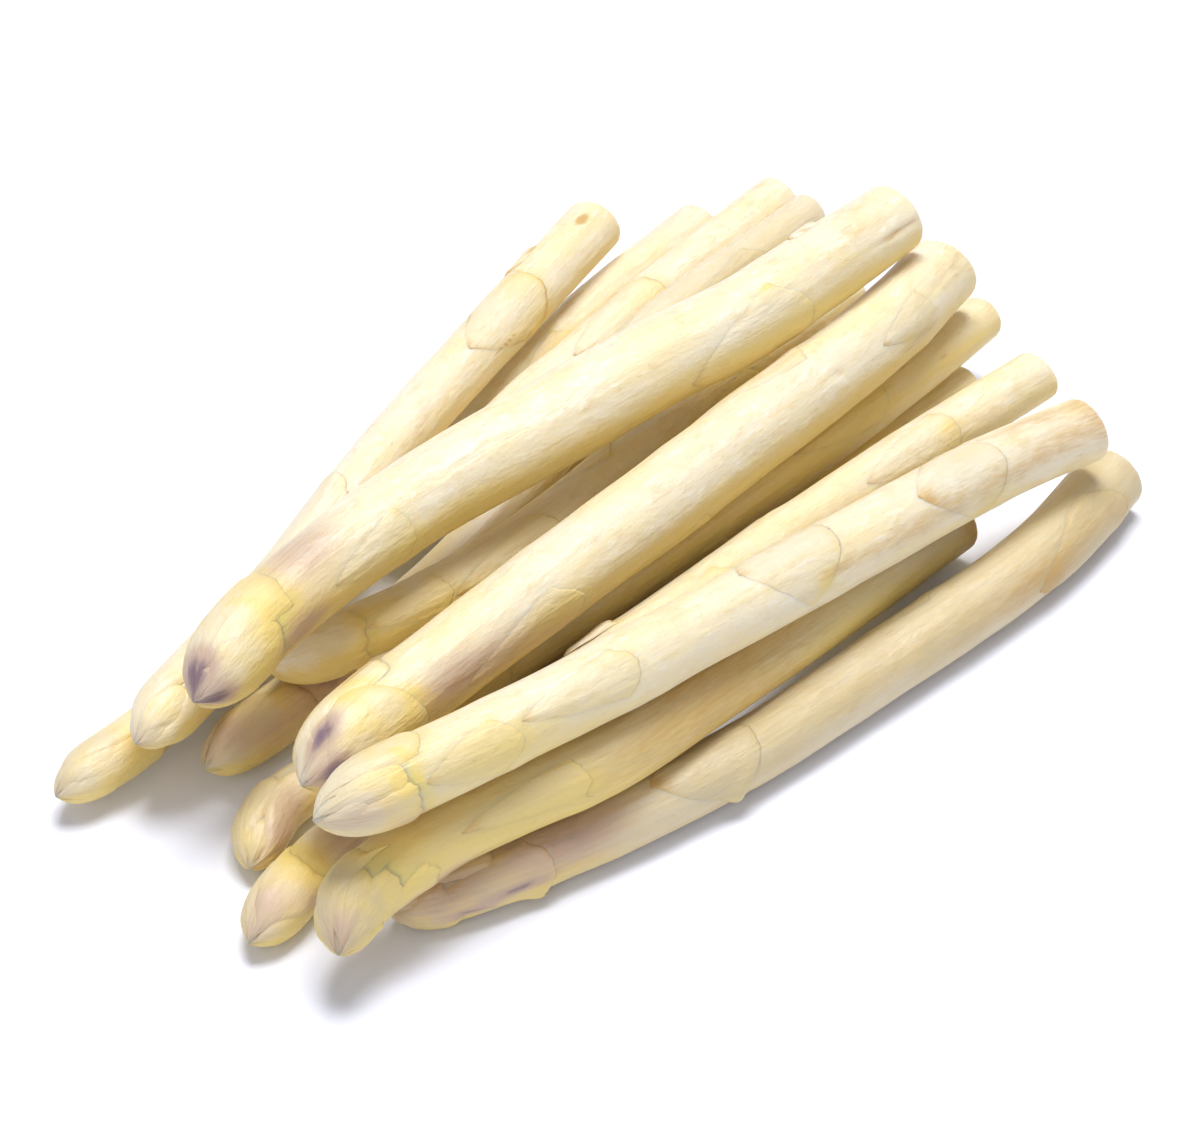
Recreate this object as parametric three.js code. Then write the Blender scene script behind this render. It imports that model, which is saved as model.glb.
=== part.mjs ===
// A loose bundle of white asparagus lying as a heap, in millimetres, +Z up.
// Each spear is one solid: a bent, tapering stem with a cut butt, and a head that closes
// in overlapping scales. The scales are raised from its surface by a formula.
// The spears are laid one after another: each is let down, as it is held, until it touches
// the floor or one laid before it. The heap is then centred over the origin.
import * as THREE from 'three';

// How the spears are laid
const gap = 0.35;        // kept between two spears
const floorFlat = 0.5;   // how deep a spear's underside is flattened where it lies
const layingSteps = 80;  // along a spear, where it may touch

// How every spear is shaped
const rimRounding = 2;       // on the rim of the cut butt
const slantReach = 12;       // length over which a slanting cut fades into the stem
const headShare = 1.2;       // length in which a head closes, in neck diameters
const headSwell = 0.05;      // extra girth of a head over the neck behind it
const goldenAngle = 137.5;   // degrees from one scale to the next

// How the scales are shaped
const scaleThickness = 0.6;
const scaleSpread = 66;      // degrees each way from its middle line, at a scale's base
const scaleTaper = 0.62;     // how full its outline is on the way to its point
const baseStep = 1.4;        // length over which a scale rises at its base
const headScales = 8;
const headScaleShrink = 0.77;  // from one head scale's distance to the tip to the next

// Each spear, in the order of laying. girths: diameters at the butt, halfway and at the neck
// behind the head. cut: [degrees out of square, degrees round from the top where the cut butt
// is shortest]. places: what its middle line passes through, butt first, as it is held before
// it is let down. scales: [distance from the butt, degrees round from the top, length].
const spears = [
  { name: 'spear_front_floor', girths: [16, 15, 12], sides: 16, cut: [4, 0],
    places: [[119.3, -51.9, 8], [85, -56, 7.5], [33, -53, 7.2], [-20, -47, 6.9],
      [-67, -34.5, 6.3], [-90.4, -24.7, 6]],
    scales: [[14, 40, 26], [70, -80, 30], [130, 55, 34], [172, 110, 24]] },
  { name: 'spear_front_crossing', girths: [12, 12, 12], sides: 14,
    places: [[88, -19, 6], [30, -17, 6], [-40, -10, 6], [-86, -4, 5.8], [-115.1, -10.4, 5.6]],
    scales: [[50, 60, 26], [105, -80, 28], [150, 30, 24]] },
  { name: 'spear_middle_inner', girths: [11, 11, 11], sides: 14,
    places: [[124.7, -4.2, 5.5], [60, 0, 5.5], [0, 2, 5.4], [-50, 9, 5.4], [-84.1, 13.9, 5.3],
      [-100.7, 4.8, 5.3]],
    scales: [[55, -30, 26], [115, 110, 28], [165, 20, 24]] },
  { name: 'spear_rear_under', girths: [10.5, 10.5, 10], sides: 12,
    places: [[130, 79, 5], [95, 65, 5], [40, 43, 5], [0, 27, 4.8], [-28, 17, 4.6]],
    scales: [[40, 30, 24], [85, 170, 26], [120, -40, 22]] },
  { name: 'spear_front_inner', girths: [12.5, 12.5, 12], sides: 14, cut: [10, 0],
    places: [[125.1, -24.7, 19.8], [97.2, -22.2, 19.8], [46, -19, 19.8], [-60, -16, 19.8]],
    scales: [[34, 40, 28], [90, -100, 28], [135, 60, 24]] },
  { name: 'spear_middle_floor', girths: [11.5, 11.5, 11], sides: 14, cut: [4, 0],
    places: [[135.3, 0, 18.1], [95, -2, 18.1], [64, -2.5, 18.1], [0, -1, 18.1], [-60, 1, 18.1]],
    scales: [[50, 20, 26], [105, 140, 28], [140, -60, 24]] },
  { name: 'spear_rear_floor', girths: [12.4, 11.8, 10.8], sides: 14, cut: [8, -20],
    places: [[118.4, 75.4, 16.8], [78, 73, 15.3], [47, 69, 14], [0, 62.5, 12], [-60, 53, 8],
      [-90, 48, 8], [-116, 47.8, 8]],
    scales: [[62, 70, 26], [115, -70, 28], [165, 40, 26]] },
  { name: 'spear_rear_middle', girths: [13.8, 12, 11.5], sides: 14,
    places: [[133.2, 63, 22.7], [93.5, 61.1, 21.8], [60, 58.2, 20.9], [33, 55.5, 20.7],
      [0, 50, 17.8], [-14, 48, 17]],
    scales: [[52, 0, 30], [100, 130, 20]] },
  { name: 'spear_rear_inner', girths: [11.2, 11.5, 12], sides: 14,
    places: [[130.1, 50.5, 26.5], [108, 49.5, 26.5], [67, 46.8, 27], [30, 41, 20], [0, 36, 14],
      [-40, 33.5, 8.5], [-88.9, 31.6, 8]],
    scales: [[45, 120, 26], [80, -20, 24], [160, 60, 20]] },
  { name: 'spear_slim_upper', girths: [12.5, 12.5, 12.4], sides: 14,
    places: [[117.6, 26.8, 21], [86.6, 26.1, 21], [61.8, 26, 21], [24.7, 23, 21],
      [-2.5, 21.8, 21], [-28.8, 23.5, 21.4], [-51.4, 28.1, 21.2], [-67.8, 34.6, 20.9]],
    scales: [[45, 100, 24], [90, -60, 24], [118, 60, 26]] },
  { name: 'spear_top_middle', girths: [17.8, 18.8, 16.6], sides: 16, cut: [10, -20],
    places: [[126, 6, 34.5], [97.8, 1.3, 34.7], [39.8, -1.2, 34.7], [-39, -3, 34.5],
      [-80, -4, 33], [-94.1, -6, 32.2]],
    scales: [[17, 40, 22], [60, -60, 30], [105, 160, 32], [148, 85, 32]] },
  { name: 'spear_front_under', girths: [15, 15, 14.5], sides: 16, cut: [14, 30],
    places: [[80.4, -35.8, 9.5], [21.4, -39, 17], [-10.2, -39.2, 19.8], [-40, -38.2, 21.5],
      [-62, -31.8, 21], [-81.4, -28.1, 21.1], [-100, -26.3, 17], [-110.8, -32.8, 15.5]],
    scales: [[30, -60, 28], [126, 70, 30], [160, 110, 22]] },
  { name: 'spear_rear_left', girths: [14, 13.6, 12.4], sides: 14, cut: [6, -30],
    places: [[89.6, 84.6, 28.1], [53.9, 75.6, 28.1], [-2.5, 60.4, 28.8], [-52.7, 48.7, 22],
      [-101.9, 36.7, 21]],
    scales: [[22, -80, 26], [46, 90, 34], [120, -30, 28], [155, 100, 18]] },
  { name: 'spear_top_front', girths: [15.3, 16, 15], sides: 16, cut: [7, -10],
    places: [[109.6, -49.6, 25.8], [84.5, -44.4, 27.7], [21.6, -39.3, 33.5],
      [-34.4, -33.4, 37.1], [-59, -29, 37.6], [-103.7, -20, 38.7]],
    scales: [[36, 66, 30], [90, 10, 34], [140, -110, 26], [168, 70, 22]] },
  { name: 'spear_top_rear', girths: [17, 20.2, 16.2], sides: 16, cut: [4, -30],
    places: [[116.7, 13.8, 51], [85.3, 15.7, 49], [64.3, 17.7, 47.2], [40.3, 22.2, 46],
      [18.3, 25.2, 44.6], [-28.8, 30.7, 42.6], [-73.3, 28, 41.3], [-97.4, 21.7, 39.8]],
    scales: [[9, 0, 20], [42, 60, 34], [100, -100, 30], [150, 80, 26]] },
];

const radians = THREE.MathUtils.degToRad;
const up = new THREE.Vector3(0, 0, 1);

// The bare stem's radius: a parabola through the three girths, a slight swelling, and a
// bullet-shaped end.
function stemRadius(spear, s, length) {
  const [butt, middle, neck] = spear.girths;
  const headLength = headShare * neck;
  const fromHead = s * length - (length - headLength);
  const t = Math.min(1, s * length / (length - headLength));
  const stem = THREE.MathUtils.lerp(butt, neck, t) + (4 * middle - 2 * (butt + neck)) * t * (1 - t);
  const swell = 1 + headSwell * THREE.MathUtils.smoothstep(fromHead, -1.5 * headLength, 0);
  const closing = Math.min(1, Math.max(0, fromHead / headLength));
  return stem / 2 * swell * (1 - closing ** 2.4) ** 0.75;
}

// Lets a spear down: at each step the floor and the spears below say how high its middle
// line must be, and the neediest step decides. Returns the line as points with radii.
function lay(spear, below) {
  const curve = new THREE.CatmullRomCurve3(spear.places.map((at) => new THREE.Vector3(...at)));
  const length = curve.getLength();
  const scales = scalesOf(spear, length);
  const steps = Array.from({ length: layingSteps + 1 }, (_, i) => {
    const s = i / layingSteps;
    const { x, y, z } = curve.getPointAt(s);
    const bare = stemRadius(spear, s, length);
    return { x, y, z, bare, radius: bare + thickest(scales, s * length) };
  });
  const lifts = steps.map(({ x, y, z, bare, radius }) => {
    const heights = below.flat().map((other) => {
      const reach = radius + other.radius + gap;
      const apart = Math.hypot(x - other.x, y - other.y);
      return apart < reach ? other.z + Math.sqrt(reach ** 2 - apart ** 2) : 0;
    });
    return Math.max(bare - floorFlat, ...heights) - z;
  });
  const lift = Math.max(...lifts);
  return steps.map((step) => ({ ...step, z: step.z + lift }));
}

// The scales of a spear: those given for its stem, then closer and closer ones to the tip.
function scalesOf(spear, length) {
  const scales = spear.scales.map(([at, turn, span]) => ({ at, turn, span }));
  const neck = spear.girths[2];
  let toTip = 2.5 * neck;
  let turn = scales.at(-1).turn;
  for (let i = 0; i < headScales; i += 1) {
    turn += goldenAngle;
    scales.push({ at: length - toTip, turn, span: Math.min(toTip * 0.8, neck) });
    toTip *= headScaleShrink;
  }
  return scales;
}

// How far the scales stand out at a place on the stem: each has a step at its base and a
// pointed arch for an outline.
function relief(scales, distance, angle) {
  let height = 0;
  for (const scale of scales) {
    const along = (distance - scale.at) / scale.span;
    const rise = THREE.MathUtils.smoothstep(distance - scale.at, -baseStep, 0);
    const spread = radians(scaleSpread) * Math.max(0, 1 - Math.max(0, along)) ** scaleTaper;
    const turned = angle - radians(scale.turn);
    const off = Math.abs(Math.atan2(Math.sin(turned), Math.cos(turned)));
    if (along < 1 && off < spread) height = Math.max(height, rise * scaleThickness);
  }
  return height;
}

// The thickest relief round the stem at a distance from the butt.
function thickest(scales, distance) {
  return Math.max(...scales.map((scale) => relief([scale], distance, radians(scale.turn))));
}

// Where the rings of vertices stand along a spear, as shares of its length.
function ringPlaces(spear, scales, length) {
  const headLength = headShare * spear.girths[2];
  const wanted = [0, rimRounding * 0.35, rimRounding, 8];
  for (const { at, span } of scales) {
    wanted.push(at - baseStep, at, at + 0.4 * span, at + 0.75 * span, at + span);
  }
  for (const share of [0, 0.25, 0.45, 0.62, 0.77, 0.89, 0.96]) {
    wanted.push(length - headLength * (1 - share));
  }
  const places = [];
  const last = length - 0.03 * headLength;
  for (const place of wanted.filter((p) => p < last).sort((p, q) => p - q)) {
    if (places.length < 3 || place - places.at(-1) > 1.3) places.push(place);
  }
  return places.map((place) => place / length);
}

// Closes rings of points, from butt to tip, into one skin with a fan at each end.
function closedSkin(butt, rings, tip) {
  const sides = rings[0].length;
  const index = [];
  const vertex = (ring, side) => 1 + ring * sides + (side % sides);
  const last = 1 + rings.length * sides;
  for (let side = 0; side < sides; side += 1) {
    index.push(0, vertex(0, side), vertex(0, side + 1));
    for (let ring = 0; ring + 1 < rings.length; ring += 1) {
      const [a, b] = [vertex(ring, side), vertex(ring + 1, side)];
      const [c, d] = [vertex(ring + 1, side + 1), vertex(ring, side + 1)];
      index.push(a, b, c, a, c, d);
    }
    index.push(last, vertex(rings.length - 1, side + 1), vertex(rings.length - 1, side));
  }
  const geometry = new THREE.BufferGeometry().setFromPoints([butt, ...rings.flat(), tip]);
  geometry.setIndex(index);
  geometry.computeVertexNormals();
  return geometry;
}

function makeSpear(spear, line) {
  const curve = new THREE.CatmullRomCurve3(line.map(({ x, y, z }) => new THREE.Vector3(x, y, z)));
  const length = curve.getLength();
  const scales = scalesOf(spear, length);
  const ring = (s) => {
    const centre = curve.getPointAt(s);
    const along = curve.getTangentAt(s);
    const near = new THREE.Vector3().crossVectors(up, along).normalize();
    const top = new THREE.Vector3().crossVectors(along, near);
    const inRim = 1 - Math.min(1, s * length / rimRounding);
    const inset = rimRounding * (1 - Math.sqrt(1 - inRim ** 2));
    const [slant, shortest] = spear.cut ?? [0, 0];
    const slope = Math.tan(radians(slant)) * Math.max(0, 1 - s * length / slantReach);
    return Array.from({ length: spear.sides }, (_, side) => {
      const angle = 2 * Math.PI * (side + 0.5) / spear.sides;
      const radius = stemRadius(spear, s, length) - inset + relief(scales, s * length, angle);
      const point = centre.clone().addScaledVector(top, radius * Math.cos(angle));
      point.addScaledVector(near, radius * Math.sin(angle));
      point.addScaledVector(along, slope * radius * Math.cos(angle - radians(shortest)));
      point.z = Math.max(0, point.z);
      return point;
    });
  };
  const rings = ringPlaces(spear, scales, length).map(ring);
  const skin = closedSkin(curve.getPointAt(0), rings, curve.getPointAt(1));
  const flesh = new THREE.MeshStandardMaterial({ color: 0xeee3b6, roughness: 0.5, metalness: 0 });
  const mesh = new THREE.Mesh(skin, flesh);
  mesh.name = spear.name;
  return mesh;
}

function makeBundle() {
  const bundle = new THREE.Group();
  const laid = [];
  for (const spear of spears) {
    laid.push(lay(spear, laid));
    bundle.add(makeSpear(spear, laid.at(-1)));
  }
  const centre = new THREE.Box3().setFromObject(bundle).getCenter(new THREE.Vector3());
  for (const mesh of bundle.children) mesh.position.set(-centre.x, -centre.y, 0);
  return bundle;
}

export default makeBundle();
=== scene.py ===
# White asparagus, fifteen spears in a loose heap: skin, scale leaves, cut ends and light.
import math

import bpy
import numpy as np
from mathutils import Matrix


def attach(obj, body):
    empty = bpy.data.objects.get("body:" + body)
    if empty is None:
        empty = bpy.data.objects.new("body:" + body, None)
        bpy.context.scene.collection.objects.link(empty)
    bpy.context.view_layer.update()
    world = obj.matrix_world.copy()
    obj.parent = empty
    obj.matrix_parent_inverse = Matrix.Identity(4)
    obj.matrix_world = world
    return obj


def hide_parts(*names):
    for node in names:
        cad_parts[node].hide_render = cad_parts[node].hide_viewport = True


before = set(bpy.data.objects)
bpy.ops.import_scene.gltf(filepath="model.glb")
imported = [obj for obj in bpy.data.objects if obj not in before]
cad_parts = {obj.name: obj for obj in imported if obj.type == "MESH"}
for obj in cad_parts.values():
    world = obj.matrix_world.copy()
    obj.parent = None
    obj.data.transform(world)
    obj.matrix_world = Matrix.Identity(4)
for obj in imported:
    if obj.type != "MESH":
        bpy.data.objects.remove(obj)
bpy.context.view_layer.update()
mm = 0.001

# How all the spears are made. Lengths are in millimetres, turns in degrees: 0 is the top of
# a spear, and they grow towards its near side, the side that looks to -Y.
spearMake = {
    "lineSteps": 700,        # in the middle line
    "cubicSteps": 80,        # in each cubic that it is cut from
    "ringStep": 0.95,        # between two rings of the skin
    "sides": 72,             # points in a ring
    "faceRings": 14,         # rings in the cut end
    "faceStart": 0.08,       # the smallest of them, as a share of the largest
    "rimRings": 8,           # round the cut end's rim
    "tipRings": 34,          # in the closing head
    "tipCrowd": 1.35,        # higher: they lie closer together at the tip
    "rim": 2.0,              # rounding of the cut end's rim
    "slantReach": 12,        # length over which a slanting cut fades into the stem
    "cutDish": 0.35,         # how far the cut end is sunk in its middle
    "cutTear": (0.1, 9, 14, 26),  # unevenness of the cut: height, spokes, their twist, rings
    "headShare": 1.2,        # length in which a head closes, in neck diameters
    "headSwell": 0.05,       # extra girth of a head over the neck behind it
    "swellFrom": 1.5,        # head lengths before the closing, where it begins
    "headFull": (2.4, 0.75), # how late and how bluntly a head closes
    "ribs": 0.12,            # height of the ribs along the stem
    "ribWaves": ([150, 210, 90, 130], [11, 15, 19, 24]),         # lengths, rounds
    "lumps": 0.24,           # height of the slow unevenness
    "lumpWaves": ([61, 37, 23, 90, 47], [1, 2, 3, 2, 0]),
    "headEase": (12, 4),     # ribs fade from so far before the first head scale to past it
    "headCalm": 0.6,         # share of the slow unevenness that is gone on the head
    "node": 0.32,            # swelling of the stem where a scale leaf grows from it
    "nodeReach": (3.5, 75),  # how far it reaches, along in mm and round in degrees
    "nodePast": 1.5,         # how far it lies past the middle of the leaf's base line
    "nodeRound": 0.3,        # share of it that goes all the way round
    "headScales": 7,
    "headShrink": 0.74,      # from one head scale's distance to the tip to the next
    "headTuck": 0.032,       # how much lower each head scale lies than the one before it
    "tuckEase": (1, 4),      # the stem sinks from so far before a head scale's base to past it
    "goldenAngle": 137.5,
    "grainApart": 400,       # between two spears' places in the fibres' pattern
}


def smooth(x, low, high):
    # 0 below low, 1 above high, and an S-shaped rise between them
    t = np.clip((x - low) / (high - low), 0.0, 1.0)
    return t * t * (3.0 - 2.0 * t)


def turnGap(a, b):
    # the smaller angle between two turns, in degrees
    return np.abs((a - b + 180.0) % 360.0 - 180.0)


def middleLine(places):
    # A smooth line through the places. Each stretch is a cubic whose slopes at its two ends
    # come from the neighbouring places, weighted by the root of their distance. It is then
    # re-cut into equal steps, and each point gets the direction along it.
    p = np.array(places, float)
    p = np.vstack([2 * p[0] - p[1], p, 2 * p[-1] - p[-2]])
    d = np.sqrt(np.linalg.norm(np.diff(p, axis=0), axis=1))[:, None]
    x0, x1, x2, x3 = p[:-3], p[1:-2], p[2:-1], p[3:]
    d0, d1, d2 = d[:-2], d[1:-1], d[2:]
    m1 = ((x1 - x0) / d0 - (x2 - x0) / (d0 + d1) + (x2 - x1) / d1) * d1
    m2 = ((x2 - x1) / d1 - (x3 - x1) / (d1 + d2) + (x3 - x2) / d2) * d1
    t = np.linspace(0, 1, spearMake["cubicSteps"], endpoint=False)[None, :, None]
    x1, x2, m1, m2 = (a[:, None, :] for a in (x1, x2, m1, m2))
    line = (x1 * (2 * t**3 - 3 * t**2 + 1) + x2 * (3 * t**2 - 2 * t**3)
            + m1 * (t**3 - 2 * t**2 + t) + m2 * (t**3 - t**2)).reshape(-1, 3)
    line = np.vstack([line, p[-2]])
    run = np.concatenate([[0], np.cumsum(np.linalg.norm(np.diff(line, axis=0), axis=1))])
    at = np.linspace(0, run[-1], spearMake["lineSteps"])
    points = np.column_stack([np.interp(at, run, line[:, k]) for k in range(3)])
    along = np.gradient(points, at, axis=0)
    return {"at": at, "points": points, "length": run[-1],
            "along": along / np.linalg.norm(along, axis=1)[:, None]}


def openRadius(spear, d):
    # the stem's radius if its head didn't close: a parabola through the girths at the butt,
    # halfway and at the neck, and a slight swelling of the head
    butt, middle, neck = spear["girths"]
    length = spear["line"]["length"]
    head = spearMake["headShare"] * neck
    t = np.clip(d / (length - head), 0, 1)
    stem = butt + (neck - butt) * t + (4 * middle - 2 * (butt + neck)) * t * (1 - t)
    swelling = smooth(d - (length - head), -spearMake["swellFrom"] * head, 0)
    return stem / 2 * (1 + spearMake["headSwell"] * swelling)


def stemRadius(spear, d):
    # the open radius, closed by a bullet-shaped end
    head = spearMake["headShare"] * spear["girths"][2]
    closing = np.clip((d - (spear["line"]["length"] - head)) / head, 0, 1)
    late, blunt = spearMake["headFull"]
    return openRadius(spear, d) * (1 - closing**late) ** blunt


def waves(d, turn, seed, lengths, rounds):
    # The mean of slow waves along and round the stem, each with its own seeded phase.
    draw = np.random.default_rng(seed)
    total = 0.0
    for wave, times in zip(lengths, rounds):
        phase = draw.uniform(0, 2 * np.pi, 2)
        total = total + (np.cos(2 * np.pi * d / wave + phase[0])
                         * np.cos(times * np.radians(turn) + phase[1]))
    return total / len(lengths)


def skinPoint(spear, d, turn, height):
    # A place on a spear: from the middle line at distance d, outwards by the height above
    # the axis, in the direction given by the turn. Nothing goes below the floor.
    line = spear["line"]
    points = np.stack([np.interp(d, line["at"], line["points"][:, k]) for k in range(3)], -1)
    along = np.stack([np.interp(d, line["at"], line["along"][:, k]) for k in range(3)], -1)
    near = np.cross(np.array([0.0, 0.0, 1.0]), along)
    near /= np.linalg.norm(near, axis=-1, keepdims=True)
    top = np.cross(along, near)
    a = np.radians(turn)[..., None]
    out = points + height[..., None] * (top * np.cos(a) + near * np.sin(a))
    out[..., 2] = np.maximum(out[..., 2], 0.0)
    return out


def bumps(spear, name, d, turn):
    # The sum of soft bumps: each fades from its middle with the square of the distance
    # along the stem and round it.
    total = np.zeros(np.broadcast(d, turn).shape)
    for at, around, size, wide, strength in spear.get(name, []):
        total += strength * np.exp(-((d - at) / size) ** 2 - (turnGap(turn, around) / wide) ** 2)
    return total


def stemHeight(spear, d, turn):
    # The bare skin's distance from the middle line: the stem's radius, tucked in a little
    # more past each head scale's base, with slow lumps, fine ribs, a swelling where each
    # leaf grows, and the spear's own bumps and dents.
    radius = stemRadius(spear, d)
    body = np.clip(2 * radius / spear["girths"][2], 0, 1)
    onStem, onHead = spear["leaves"][:spear["firstHead"]], spear["leaves"][spear["firstHead"]:]
    before, past = spearMake["headEase"]
    inHead = smooth(d, onHead[0]["at"] - before, onHead[0]["at"] + past)
    before, past = spearMake["tuckEase"]
    begun = sum(smooth(d, leaf["at"] - before, leaf["at"] + past) for leaf in onHead[1:])
    height = radius * (1 - spearMake["headTuck"] * begun)
    lump = waves(d, turn, spear["seed"], *spearMake["lumpWaves"])
    ribbing = waves(d, turn, spear["seed"] + 50, *spearMake["ribWaves"])
    height = height + body * spearMake["lumps"] * lump * (1 - spearMake["headCalm"] * inHead)
    height = height + body * spearMake["ribs"] * ribbing * (1 - inHead)
    reach, wide = spearMake["nodeReach"]
    allRound = spearMake["nodeRound"]
    for leaf in onStem:
        rise = np.exp(-((d - leaf["at"] + leaf["bow"] - spearMake["nodePast"]) / reach) ** 2)
        beside = allRound + (1 - allRound) * np.exp(-(turnGap(turn, leaf["turn"]) / wide) ** 2)
        height = height + spearMake["node"] * body * rise * beside
    return height + bumps(spear, "dents", d, turn)


# Where the skin is tinted, for a spear whose own list says nothing else.
skinTints = {
    "paintedBounceYellow": 1.2, "paintedBounceTurns": (40, 110),     # painted bounce light: warm yellow on the underside, between these turns
    "headYellow": 0.3, "headReach": 2.2,             # before the head, in neck diameters
    "glowBehind": 0.8, "glowReach": 1.8,             # behind a leaf's base line, mm
    "glowWide": 1.1,                                 # and round the stem, in its half widths
    "tipBlush": 0.3, "tipReach": 0.3,                # on the tip, in neck diameters
    "buttTan": 0.25, "buttReach": 6,                 # at the cut end, mm
    "tone": 0.0, "headTone": 0.35,                   # dullness: of a spear, and more on its head; on some spears it is also painted shade, and below 0 painted light
    "headDull": (2.3, 1.2),                          # it rises between these, in neck diameters
}


def fieldsAt(spear, d, turn):
    # What the materials read: how yellow, mauve, tan and dull the skin is at each place. Each tint is the
    # spear's own bumps and what all spears have: an S-shaped rise of yellow to the underside, which is
    # painted bounce light, and soft bumps before the head, behind each leaf's base and at both ends. Some
    # spears' own yellow, tan and tone are painted shade or painted light, as their lists say.
    tints = {**skinTints, **spear}
    neck, toTip = spear["girths"][2], spear["line"]["length"] - d
    reach = tints["headReach"] * neck
    yellow = (bumps(spear, "yellow", d, turn)
              # painted bounce light: yellow rising towards the underside, where warm light bounced from the
              # floor and the spears around would fall
              + tints["paintedBounceYellow"] * smooth(turnGap(turn, 0.0), *tints["paintedBounceTurns"])
              + tints["headYellow"] * np.exp(-((toTip - reach) / reach) ** 2))
    for leaf in spear["leaves"]:
        gap = turnGap(turn, leaf["turn"]) / leaf["spread"]
        base = leaf["at"] - leaf["bow"] * np.clip(1 - gap**2, 0, 1)
        behind = np.exp(-((d - base + tints["glowBehind"]) / tints["glowReach"]) ** 2)
        yellow = yellow + leaf["glow"] * behind * (gap < tints["glowWide"])
    onTip = np.exp(-(toTip / (tints["tipReach"] * neck)) ** 2)
    onButt = np.exp(-(d / tints["buttReach"]) ** 2)
    begins, full = tints["headDull"]
    onHead = smooth(-toTip, -begins * neck, -full * neck)
    return {"yellow": yellow, "edge": np.zeros_like(yellow),
            "blush": bumps(spear, "blush", d, turn) + tints["tipBlush"] * onTip,
            "tan": bumps(spear, "tan", d, turn) + tints["buttTan"] * onButt,
            "tone": tints["tone"] + tints["headTone"] * onHead}


def grainAt(spear, d, turn, share=1.0):
    # where the fibres' pattern is looked up: the straightened spear, its head not closed,
    # so the fibres run together at the tip
    radius, a = openRadius(spear, d) * share, np.radians(turn)
    along = d + spearMake["grainApart"] * spear["seed"]
    return np.stack([radius * np.cos(a), radius * np.sin(a), along], -1)


def gridFaces(rows, columns, start, wrap):
    # quads between neighbouring rows of points, closed round when wrap is set
    r = np.arange(rows - 1)[:, None]
    c = np.arange(columns if wrap else columns - 1)[None, :]
    n = (c + 1) % columns
    a, b = start + r * columns + c, start + r * columns + n
    return np.stack([a, b, b + columns, a + columns], -1).reshape(-1, 4)


def skinPatch(spear):
    # The stem and head as rings from the middle of the cut end, round its rim, and along to
    # the tip. A ring's radius is a share of the skin's height, less an inset at the rim. The
    # cut end is dished and a little torn, and its slant fades into the stem.
    line, rim = spear["line"], spearMake["rim"]
    length, head = line["length"], spearMake["headShare"] * spear["girths"][2]
    face = np.linspace(spearMake["faceStart"], 1, spearMake["faceRings"])
    bend = np.linspace(0, np.pi / 2, spearMake["rimRings"])
    stem = np.arange(rim + spearMake["ringStep"], length - head, spearMake["ringStep"])
    toTip = 1 - np.linspace(0, 1, spearMake["tipRings"])[:-1]
    tip = length - head * toTip ** spearMake["tipCrowd"]
    inner = 1 - rim / stemRadius(spear, 0.0)
    d = np.concatenate([np.zeros(len(face)), rim * (1 - np.cos(bend[1:])), stem, tip])
    share = np.concatenate([face * inner, inner + (1 - inner) * np.sin(bend[1:]),
                            np.ones(len(stem) + len(tip))])
    turn = np.arange(spearMake["sides"]) * 360.0 / spearMake["sides"]
    dd, tt = np.meshgrid(d, turn, indexing="ij")
    ss = np.repeat(share[:, None], len(turn), 1)
    height = stemHeight(spear, dd, tt) * ss
    slant, shortest = spear.get("cut", (0, 0))
    sunk = spearMake["cutDish"] * np.clip(1 - (ss / inner) ** 2, 0, 1)
    tear, spokes, twist, rings = spearMake["cutTear"]
    torn = tear * np.cos(np.radians(tt) * spokes + ss * twist) * np.sin(ss * rings) * (ss < inner)
    fade = math.tan(math.radians(slant)) * np.clip(1 - dd / spearMake["slantReach"], 0, 1)
    where = dd + sunk + torn + fade * height * np.cos(np.radians(tt - shortest))
    points = skinPoint(spear, where, tt, height)
    rows, columns = dd.shape
    ends = skinPoint(spear, np.array([spearMake["cutDish"], length]), np.zeros(2), np.zeros(2))
    quads = gridFaces(rows, columns, 0, True)
    c = np.arange(columns)
    n = (c + 1) % columns
    last = (rows - 1) * columns
    butt = np.stack([np.full(columns, rows * columns), c, n], -1)
    nose = np.stack([np.full(columns, rows * columns + 1), last + n, last + c], -1)
    at, around = np.concatenate([dd.ravel(), [0, length]]), np.concatenate([tt.ravel(), [0, 0]])
    finish = np.zeros(len(quads) + 2 * columns, int)
    finish[:(len(face) - 1) * columns] = 2
    finish[len(quads):len(quads) + columns] = 2
    return {"verts": np.vstack([points.reshape(-1, 3), ends]), "quads": quads[:, ::-1],
            "tris": np.vstack([butt, nose]), "fields": fieldsAt(spear, at, around),
            "grain": grainAt(spear, at, around, np.concatenate([ss.ravel(), [0, 1]])), "finish": finish}


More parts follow.
